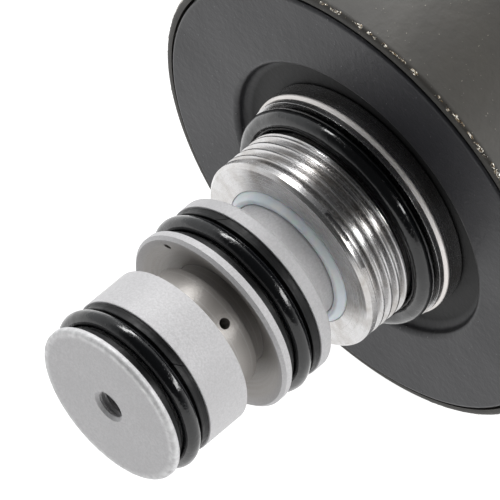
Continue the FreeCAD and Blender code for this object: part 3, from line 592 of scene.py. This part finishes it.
def thread_tree():
    """A screw thread as a skin round the valve axis: flat crests, a flat root, a run-out at both ends."""
    sizes = ("Start", "Length", "Radius", "Pitch", "Depth", "Wear", "Rows", "Reach")
    tree, given = new_tree("screw_thread", sizes)
    grid = add(tree, "GeometryNodeMeshGrid", {
        "Size X": 1.0, "Size Y": 1.0, "Vertices X": SEGMENTS + 1, "Vertices Y": given["Rows"],
    })
    corner = add(tree, "ShaderNodeVectorMath", {
        0: add(tree, "GeometryNodeInputPosition"), 1: (0.5, 0.5, 0.0),
    }, operation="ADD")
    apart = add(tree, "ShaderNodeSeparateXYZ", {0: corner})
    turn = apart.outputs["X"]
    row = add(tree, "ShaderNodeMath", {0: apart.outputs["Y"], 1: given["Reach"]}, operation="MULTIPLY")
    climb = add(tree, "ShaderNodeMath", {0: turn, 1: given["Pitch"]}, operation="MULTIPLY")
    helix = add(tree, "ShaderNodeMath", {0: row, 1: climb}, operation="ADD")
    early = add(tree, "ShaderNodeMath", {0: helix, 1: given["Pitch"]}, operation="SUBTRACT")
    begun = add(tree, "ShaderNodeMath", {0: early, 1: 0.0}, operation="MAXIMUM")
    run = add(tree, "ShaderNodeMath", {0: begun, 1: given["Length"]}, operation="MINIMUM")
    axial = add(tree, "ShaderNodeMath", {0: run, 1: given["Start"]}, operation="ADD")
    lead = add(tree, "ShaderNodeMath", {0: run, 1: given["Pitch"]}, operation="DIVIDE")
    wound = add(tree, "ShaderNodeMath", {0: row, 1: given["Pitch"]}, operation="DIVIDE")
    phase = add(tree, "ShaderNodeMath", {0: wound, 1: 0.5}, operation="ADD")
    flank = add(tree, "ShaderNodeMath", {0: phase, 1: 0.5}, operation="PINGPONG")
    groove = add(tree, "ShaderNodeMapRange", {0: flank, "From Min": 0.1, "From Max": 0.42})
    rest = add(tree, "ShaderNodeMath", {0: given["Length"], 1: run}, operation="SUBTRACT")
    near = add(tree, "ShaderNodeMath", {0: run, 1: rest}, operation="MINIMUM")
    fade_length = add(tree, "ShaderNodeMath", {0: given["Pitch"], 1: 0.22}, operation="MULTIPLY")
    fade = add(tree, "ShaderNodeMapRange", {0: near, "From Min": 0.0, "From Max": fade_length})
    cut = add(tree, "ShaderNodeMath", {0: groove, 1: fade}, operation="MULTIPLY")
    deep = add(tree, "ShaderNodeMath", {0: cut, 1: given["Depth"]}, operation="MULTIPLY")
    angle = add(tree, "ShaderNodeMath", {0: turn, 1: 2 * math.pi}, operation="MULTIPLY")
    cosine = add(tree, "ShaderNodeMath", {0: angle}, operation="COSINE")
    sine = add(tree, "ShaderNodeMath", {0: angle}, operation="SINE")
    spot = add(tree, "ShaderNodeCombineXYZ", {"X": lead, "Y": cosine, "Z": sine})
    nicks = add(tree, "ShaderNodeTexNoise", {"Vector": spot, "Scale": 9.0, "Detail": 3.0})
    nick = add(tree, "ShaderNodeMapRange", {0: nicks.outputs[0], "From Min": 0.5, "From Max": 0.75})
    worn = add(tree, "ShaderNodeMath", {0: nick, 1: given["Wear"]}, operation="MULTIPLY")
    worn_in = add(tree, "ShaderNodeMath", {0: worn, 1: fade}, operation="MULTIPLY")
    lost = add(tree, "ShaderNodeMath", {0: deep, 1: worn_in}, operation="ADD")
    radius = add(tree, "ShaderNodeMath", {0: given["Radius"], 1: lost}, operation="SUBTRACT")
    y = add(tree, "ShaderNodeMath", {0: radius, 1: cosine}, operation="MULTIPLY")
    z = add(tree, "ShaderNodeMath", {0: radius, 1: sine}, operation="MULTIPLY")
    position = add(tree, "ShaderNodeCombineXYZ", {"X": axial, "Y": y, "Z": z})
    skin = add(tree, "GeometryNodeSetPosition", {"Geometry": grid, "Position": position})
    whole = add(tree, "GeometryNodeRealizeInstances", {"Geometry": skin})
    finished = add(tree, "GeometryNodeSetMaterial", {"Geometry": whole, "Material": given["Finish"]})
    add(tree, "NodeGroupOutput", {"Geometry": finished})
    return tree


def spring_tree():
    """A compression spring with closed end turns."""
    sizes = ("Start", "Length", "Radius", "Wire", "Turns", "Closing")
    tree, given = new_tree("compression_spring", sizes)
    line = add(tree, "GeometryNodeCurvePrimitiveLine")
    fine = add(tree, "GeometryNodeResampleCurve", {"Curve": line, "Count": 420})
    along = add(tree, "GeometryNodeSplineParameter").outputs["Factor"]
    around = add(tree, "ShaderNodeMath", {0: along, 1: 2 * math.pi}, operation="MULTIPLY")
    swing = add(tree, "ShaderNodeMath", {0: around}, operation="SINE")
    ease = add(tree, "ShaderNodeMath", {0: swing, 1: given["Closing"]}, operation="MULTIPLY")
    eased = add(tree, "ShaderNodeMath", {0: ease, 1: 2 * math.pi}, operation="DIVIDE")
    even = add(tree, "ShaderNodeMath", {0: along, 1: eased}, operation="SUBTRACT")
    run = add(tree, "ShaderNodeMath", {0: even, 1: given["Length"]}, operation="MULTIPLY")
    x = add(tree, "ShaderNodeMath", {0: run, 1: given["Start"]}, operation="ADD")
    angle = add(tree, "ShaderNodeMath", {0: around, 1: given["Turns"]}, operation="MULTIPLY")
    cosine = add(tree, "ShaderNodeMath", {0: angle}, operation="COSINE")
    sine = add(tree, "ShaderNodeMath", {0: angle}, operation="SINE")
    y = add(tree, "ShaderNodeMath", {0: cosine, 1: given["Radius"]}, operation="MULTIPLY")
    z = add(tree, "ShaderNodeMath", {0: sine, 1: given["Radius"]}, operation="MULTIPLY")
    position = add(tree, "ShaderNodeCombineXYZ", {"X": x, "Y": y, "Z": z})
    helix = add(tree, "GeometryNodeSetPosition", {"Geometry": fine, "Position": position})
    section = add(tree, "GeometryNodeCurvePrimitiveCircle", {"Resolution": 14, "Radius": given["Wire"]})
    wire = add(tree, "GeometryNodeCurveToMesh", {"Curve": helix, "Profile Curve": section, "Fill Caps": True})
    whole = add(tree, "GeometryNodeRealizeInstances", {"Geometry": wire})
    finished = add(tree, "GeometryNodeSetMaterial", {"Geometry": whole, "Material": given["Finish"]})
    add(tree, "NodeGroupOutput", {"Geometry": finished})
    return tree


THREAD = thread_tree()
SPRING = spring_tree()


def thread_skin(bm, start, length, radius, pitch, depth, wear, finish):
    """Adds a screw thread to a bmesh of the piece that carries it. Its rows of faces follow the helix."""
    rows = math.ceil((length + pitch) / pitch * ROWS_PER_PITCH)
    mesh = grown(THREAD, {
        "Start": start * MM, "Length": length * MM, "Radius": radius * MM, "Pitch": pitch * MM,
        "Depth": depth * MM, "Wear": wear * MM, "Rows": rows + 1.0,
        "Reach": rows * pitch / ROWS_PER_PITCH * MM, "Finish": finish,
    })
    bm.from_mesh(mesh)
    bpy.data.meshes.remove(mesh)


# ---------------------------------------------------------------- cartridge steel


def nose_plug():
    """The nose: worn rounded rim, seal groove, long land, neck with its bleed hole, tapped port."""
    groove_start = Span("nose_backup_ring_front").start - SEAL_GAP
    groove_end = Span("nose_backup_ring_rear").end + SEAL_GAP
    neck_start = SLEEVE.start - NECK_L
    thread_start = NOSE.start + PORT_COUNTERSINK
    chamber = NOSE.start + CHAMBER_DEPTH
    r = NOSE.radius
    points = outline([
        (thread_start, PORT_MINOR_R, 0), (NOSE.start, PORT_MINOR_R + PORT_COUNTERSINK, 0.08),
        (NOSE.start, r, NOSE_ROUND), (groove_start, r, EDGE_ROUND), (groove_start, NOSE_FLOOR_R, FLOOR_ROUND),
        (groove_end, NOSE_FLOOR_R, FLOOR_ROUND), (groove_end, r, EDGE_ROUND), (neck_start, r, EDGE_ROUND),
        (neck_start, NECK_R, BORE_ROUND), (SLEEVE.start, NECK_R, NECK_ROUND),
        (SLEEVE.start, PLUG_SPIGOT_R, 0),
        (NOSE.end, PLUG_SPIGOT_R, BORE_ROUND), (NOSE.end, CHAMBER_R, BORE_ROUND),
        (chamber, CHAMBER_R, BORE_ROUND),
        (chamber, PORT_MINOR_R, 0),
    ], closed=False)
    bm = spun(points, closed=False)
    thread_skin(bm, thread_start, chamber - thread_start, PORT_MINOR_R, PORT_PITCH,
                PORT_MINOR_R - PORT_MAJOR_R, 0.0, BLASTED_STEEL)
    mesh = to_mesh(bm, "nose_plug_turned")
    hole_x = SLEEVE.start - BLEED_FROM_NECK_END
    mesh = drilled(mesh, hole_x, BLEED_ANGLE, BLEED_R, CHAMBER_R - 1, NECK_R + 1, "bleed")
    place_piece(mesh, "nose_plug_turned", "cartridge", "valve_steel", ["nose_plug"])


def threaded_adapter():
    """The adapter: a right-hand M30 thread with nicked crests, an undercut, and the polished collar."""
    start = ADAPTER.start + THREAD_LEAD_IN
    end = ADAPTER.start + THREAD_L
    seat = ADAPTER.start + PTFE_SEAT_DEPTH
    points = outline([
        (end, THREAD_R, 0), (end + ADAPTER_CHAMFER, UNDERCUT_R, BORE_ROUND), (0, UNDERCUT_R, 0.3),
        (0, STEP_R, 0.03), (STEP_L, STEP_R, 0.15), (STEP_L + COLLAR_CHAMFER, ADAPTER.radius, 0.25),
        (COLLAR_L, ADAPTER.radius, 0.3),
        (COLLAR_L, TUBE_BORE_R, 0), (ADAPTER.end, TUBE_BORE_R, 0), (ADAPTER.end, POLE_SPIGOT_R, 0),
        (-SLEEVE_TAIL, POLE_SPIGOT_R, 0), (-SLEEVE_TAIL, SLEEVE_SEAT_R, 0), (seat, SLEEVE_SEAT_R, 0),
        (seat, PTFE_SEAT_R, 0), (ADAPTER.start, PTFE_SEAT_R, 0.12),
        (ADAPTER.start, THREAD_R - ADAPTER_CHAMFER, 0.12),
        (ADAPTER.start + ADAPTER_CHAMFER, THREAD_R, 0.15), (start, THREAD_R, 0),
    ], closed=False)
    bm = spun(points, closed=False)
    thread_skin(bm, start, end - start, THREAD_R, THREAD_PITCH, THREAD_DEPTH, THREAD_WEAR, TURNED_STEEL)
    mesh = to_mesh(bm, "threaded_adapter_turned")
    place_piece(mesh, "threaded_adapter_turned", "cartridge", "adapter_steel", ["threaded_adapter"])


# ---------------------------------------------------------------- seals


def o_ring(node, body, seed, steps=40):
    """A moulded O-ring, slightly uneven, with the fine flash line of its mould round the outside."""
    span = Span(node)
    section = (span.end - span.start) / 2
    middle = span.radius - section
    flash = 0.02
    points = []
    for n in range(steps):
        angle = 2 * math.pi * n / steps
        r = section if n == 0 else section - flash
        points.append((span.middle + r * math.sin(angle), middle + r * math.cos(angle)))
    depth = 0.035 * section
    mesh = to_mesh(spun(points, wobble=uneven(3.0, depth, seed), segments=RING_SEGMENTS), node)
    place_piece(mesh, node + "_moulded", body, "seal_rubber", [node])


def backup_ring(node, floor, cut_angle, seed):
    """A backup ring, hollow on its outside, with the slanted cut through which it is sprung over the land."""
    span = Span(node)
    edge = 0.12
    hollow = 0.1
    section = outline([
        (span.start, floor, edge), (span.end, floor, edge), (span.end, span.radius, edge),
        (span.middle, span.radius - hollow, 0.3), (span.start, span.radius, edge),
    ])
    gap = 0.012
    slant = 0.09
    stations = 220
    wobble = uneven(2.5, 0.03, seed)
    bm = bmesh.new()
    rings = []
    for n in range(stations + 1):
        sweep = (2 * math.pi - gap) * n / stations
        ring = []
        for x, r in section:
            angle = cut_angle + gap / 2 + sweep + slant * (x - span.middle)
            place = Vector((x, r * math.cos(angle), r * math.sin(angle)))
            ring.append(bm.verts.new((place + wobble(place)) * MM))
        rings.append(ring)
    for here, there in zip(rings, rings[1:]):
        for k in range(len(section)):
            k2 = (k + 1) % len(section)
            bm.faces.new((here[k], here[k2], there[k2], there[k]))
    bm.faces.new(rings[0])
    bm.faces.new(list(reversed(rings[-1])))
    place_piece(to_mesh(bm, node), node + "_cut", "cartridge", "backup_ring_plastic", [node])


def white_seal():
    """The PTFE ring in the adapter's mouth: a soft bead that stands a little proud."""
    inner = WAIST_R + 0.03
    front = WHITE_RING.start
    proud = 0.9
    crown = (inner + WHITE_RING.radius) / 2
    points = outline([
        (WHITE_RING.end, inner, 0.1), (front + 0.1, inner, 0.3), (front, crown, 0.4),
        (front + proud, WHITE_RING.radius, 0.3), (WHITE_RING.end, WHITE_RING.radius, 0.1),
    ])
    mesh = to_mesh(spun(points, wobble=uneven(2.2, 0.05, 4)), "white_ptfe_bead")
    place_piece(mesh, "white_ptfe_bead", "cartridge", "white_ptfe", ["ptfe_seal_ring"])


# ---------------------------------------------------------------- springs


def spring(node, body, wire, turns):
    """A wound spring in the space of its CAD node."""
    span = Span(node)
    length = span.end - span.start - wire
    mesh = grown(SPRING, {
        "Start": (span.start + wire / 2) * MM, "Length": length * MM, "Radius": (span.radius - wire / 2) * MM,
        "Wire": wire / 2 * MM, "Turns": turns, "Closing": 1 - wire * turns / length, "Finish": SPRING_WIRE,
    })
    bm = bmesh.new()
    bm.from_mesh(mesh)
    piece = place_piece(to_mesh(bm, node), node + "_wound", body, "spring_wire", [node])
    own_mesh(piece)


# ---------------------------------------------------------------- coil


def front_plate():
    """The plate that closes the can: a flat ring with a soft-edged recess round the valve's collar."""
    floor_x = COLLAR_L + PLATE_RECESS_GAP
    rim_r = PLATE.radius - PLATE_RIM_STEP
    seal_r = COIL_BORE_R + COIL_SEAL_W
    seal_x = PLATE.end - COIL_SEAL_W - 0.1
    points = outline([
        (floor_x, COIL_BORE_R, BORE_ROUND), (floor_x, PLATE_RECESS_R, 1.2),
        (PLATE.start, PLATE_RECESS_R + 0.4, 0.8),
        (PLATE.start, rim_r, 0.5), (PLATE_LEDGE, rim_r, 0), (PLATE_LEDGE, PLATE.radius, 0.1),
        (PLATE.end, PLATE.radius, 0.1), (PLATE.end, seal_r, 0), (seal_x, seal_r, 0), (seal_x, COIL_BORE_R, 0),
    ])
    mesh = to_mesh(spun(points, segments=PLATE_SEGMENTS), "front_plate")
    place_piece(mesh, "front_plate_pressed", "coil", "black_paint", ["front_plate"])


def can_rim():
    """The thick bead of enamel that has dried and chipped along the can's front rim."""
    bead = 0.42
    x = CAN.start + 0.62
    r = CAN.radius - 0.52
    step = math.pi / 8
    points = [(x + bead * math.sin(n * step), r + bead * math.cos(n * step)) for n in range(16)]

    def rough(place):
        coarse = noise.noise_vector(place / 0.9) * 0.1
        fine = noise.noise_vector(place / 0.35) * 0.07
        return coarse + fine

    mesh = to_mesh(spun(points, wobble=rough, segments=RIM_SEGMENTS), "can_rim")
    place_piece(mesh, "can_rim_enamel", "coil", "coil_paint", finish=RIM_PAINT)


def softened(node, body, slot, radius):
    """A copy of a CAD node with its sharp edges rounded, as a mould or a press leaves them."""
    bm = bmesh.new()
    bm.from_mesh(frame["nodes"][node].data)
    bmesh.ops.remove_doubles(bm, verts=bm.verts, dist=2e-6)
    bmesh.ops.dissolve_limit(bm, angle_limit=math.radians(3), verts=bm.verts, edges=bm.edges)
    blank = bpy.data.objects.new(node, to_mesh(bm, node))
    bpy.context.collection.objects.link(blank)
    bevel = blank.modifiers.new("edges", "BEVEL")
    bevel.width = radius * MM
    bevel.segments = 3
    bevel.limit_method = "ANGLE"
    bevel.angle_limit = math.radians(40)
    bevel.use_clamp_overlap = True
    mesh = evaluated_mesh(blank)
    bpy.data.objects.remove(blank)
    return place_piece(mesh, node + "_softened", body, slot, [node])


# ---------------------------------------------------------------- assembly

make_camera()
make_studio()
for strip, (toward, watts) in STRIPS.items():
    strip_light(strip, toward, watts)
finish_cad_nodes()

nose_plug()
threaded_adapter()
o_ring("nose_o_ring", "cartridge", 1)
o_ring("sleeve_o_ring", "cartridge", 2)
o_ring("adapter_o_ring", "cartridge", 3)
backup_ring("nose_backup_ring_front", NOSE_RING_BORE_R, 0.9, 5)
backup_ring("nose_backup_ring_rear", NOSE_RING_BORE_R, 2.2, 6)
backup_ring("sleeve_backup_ring_front", SLEEVE_RING_BORE_R, 0.4, 7)
backup_ring("sleeve_backup_ring_rear", SLEEVE_RING_BORE_R, 1.3, 8)
white_seal()
spring("return_spring", "cartridge", RETURN_WIRE, RETURN_TURNS)
spring("override_spring", "cartridge", OVERRIDE_WIRE, OVERRIDE_TURNS)
front_plate()
can_rim()
softened("connector_socket", "coil", "black_nylon", 0.5)
softened("connector_gasket", "coil", "seal_rubber", 0.2)
softened("connector_screws", "coil", "zinc_screw", 0.15)
softened("terminal_pins", "coil", "tinned_brass", 0.12)

# ---------------------------------------------------------------- floor

# Opal acrylic table lit from below: white, so that the object throws almost no shadow on it.
TABLE = surface("opal_acrylic", "#8A8A8A", 0.0, 0.7, [
    {"size": 40.0, "colour": "#909090"},
], emission_color=(1.0, 1.0, 1.0, 1.0), emission_strength=1.0)

bpy.ops.mesh.primitive_plane_add(size=6.0, location=(0, 0, -CAN.radius * MM))
floor = bpy.context.object
floor.name = "floor"
floor.data.materials.append(TABLE)
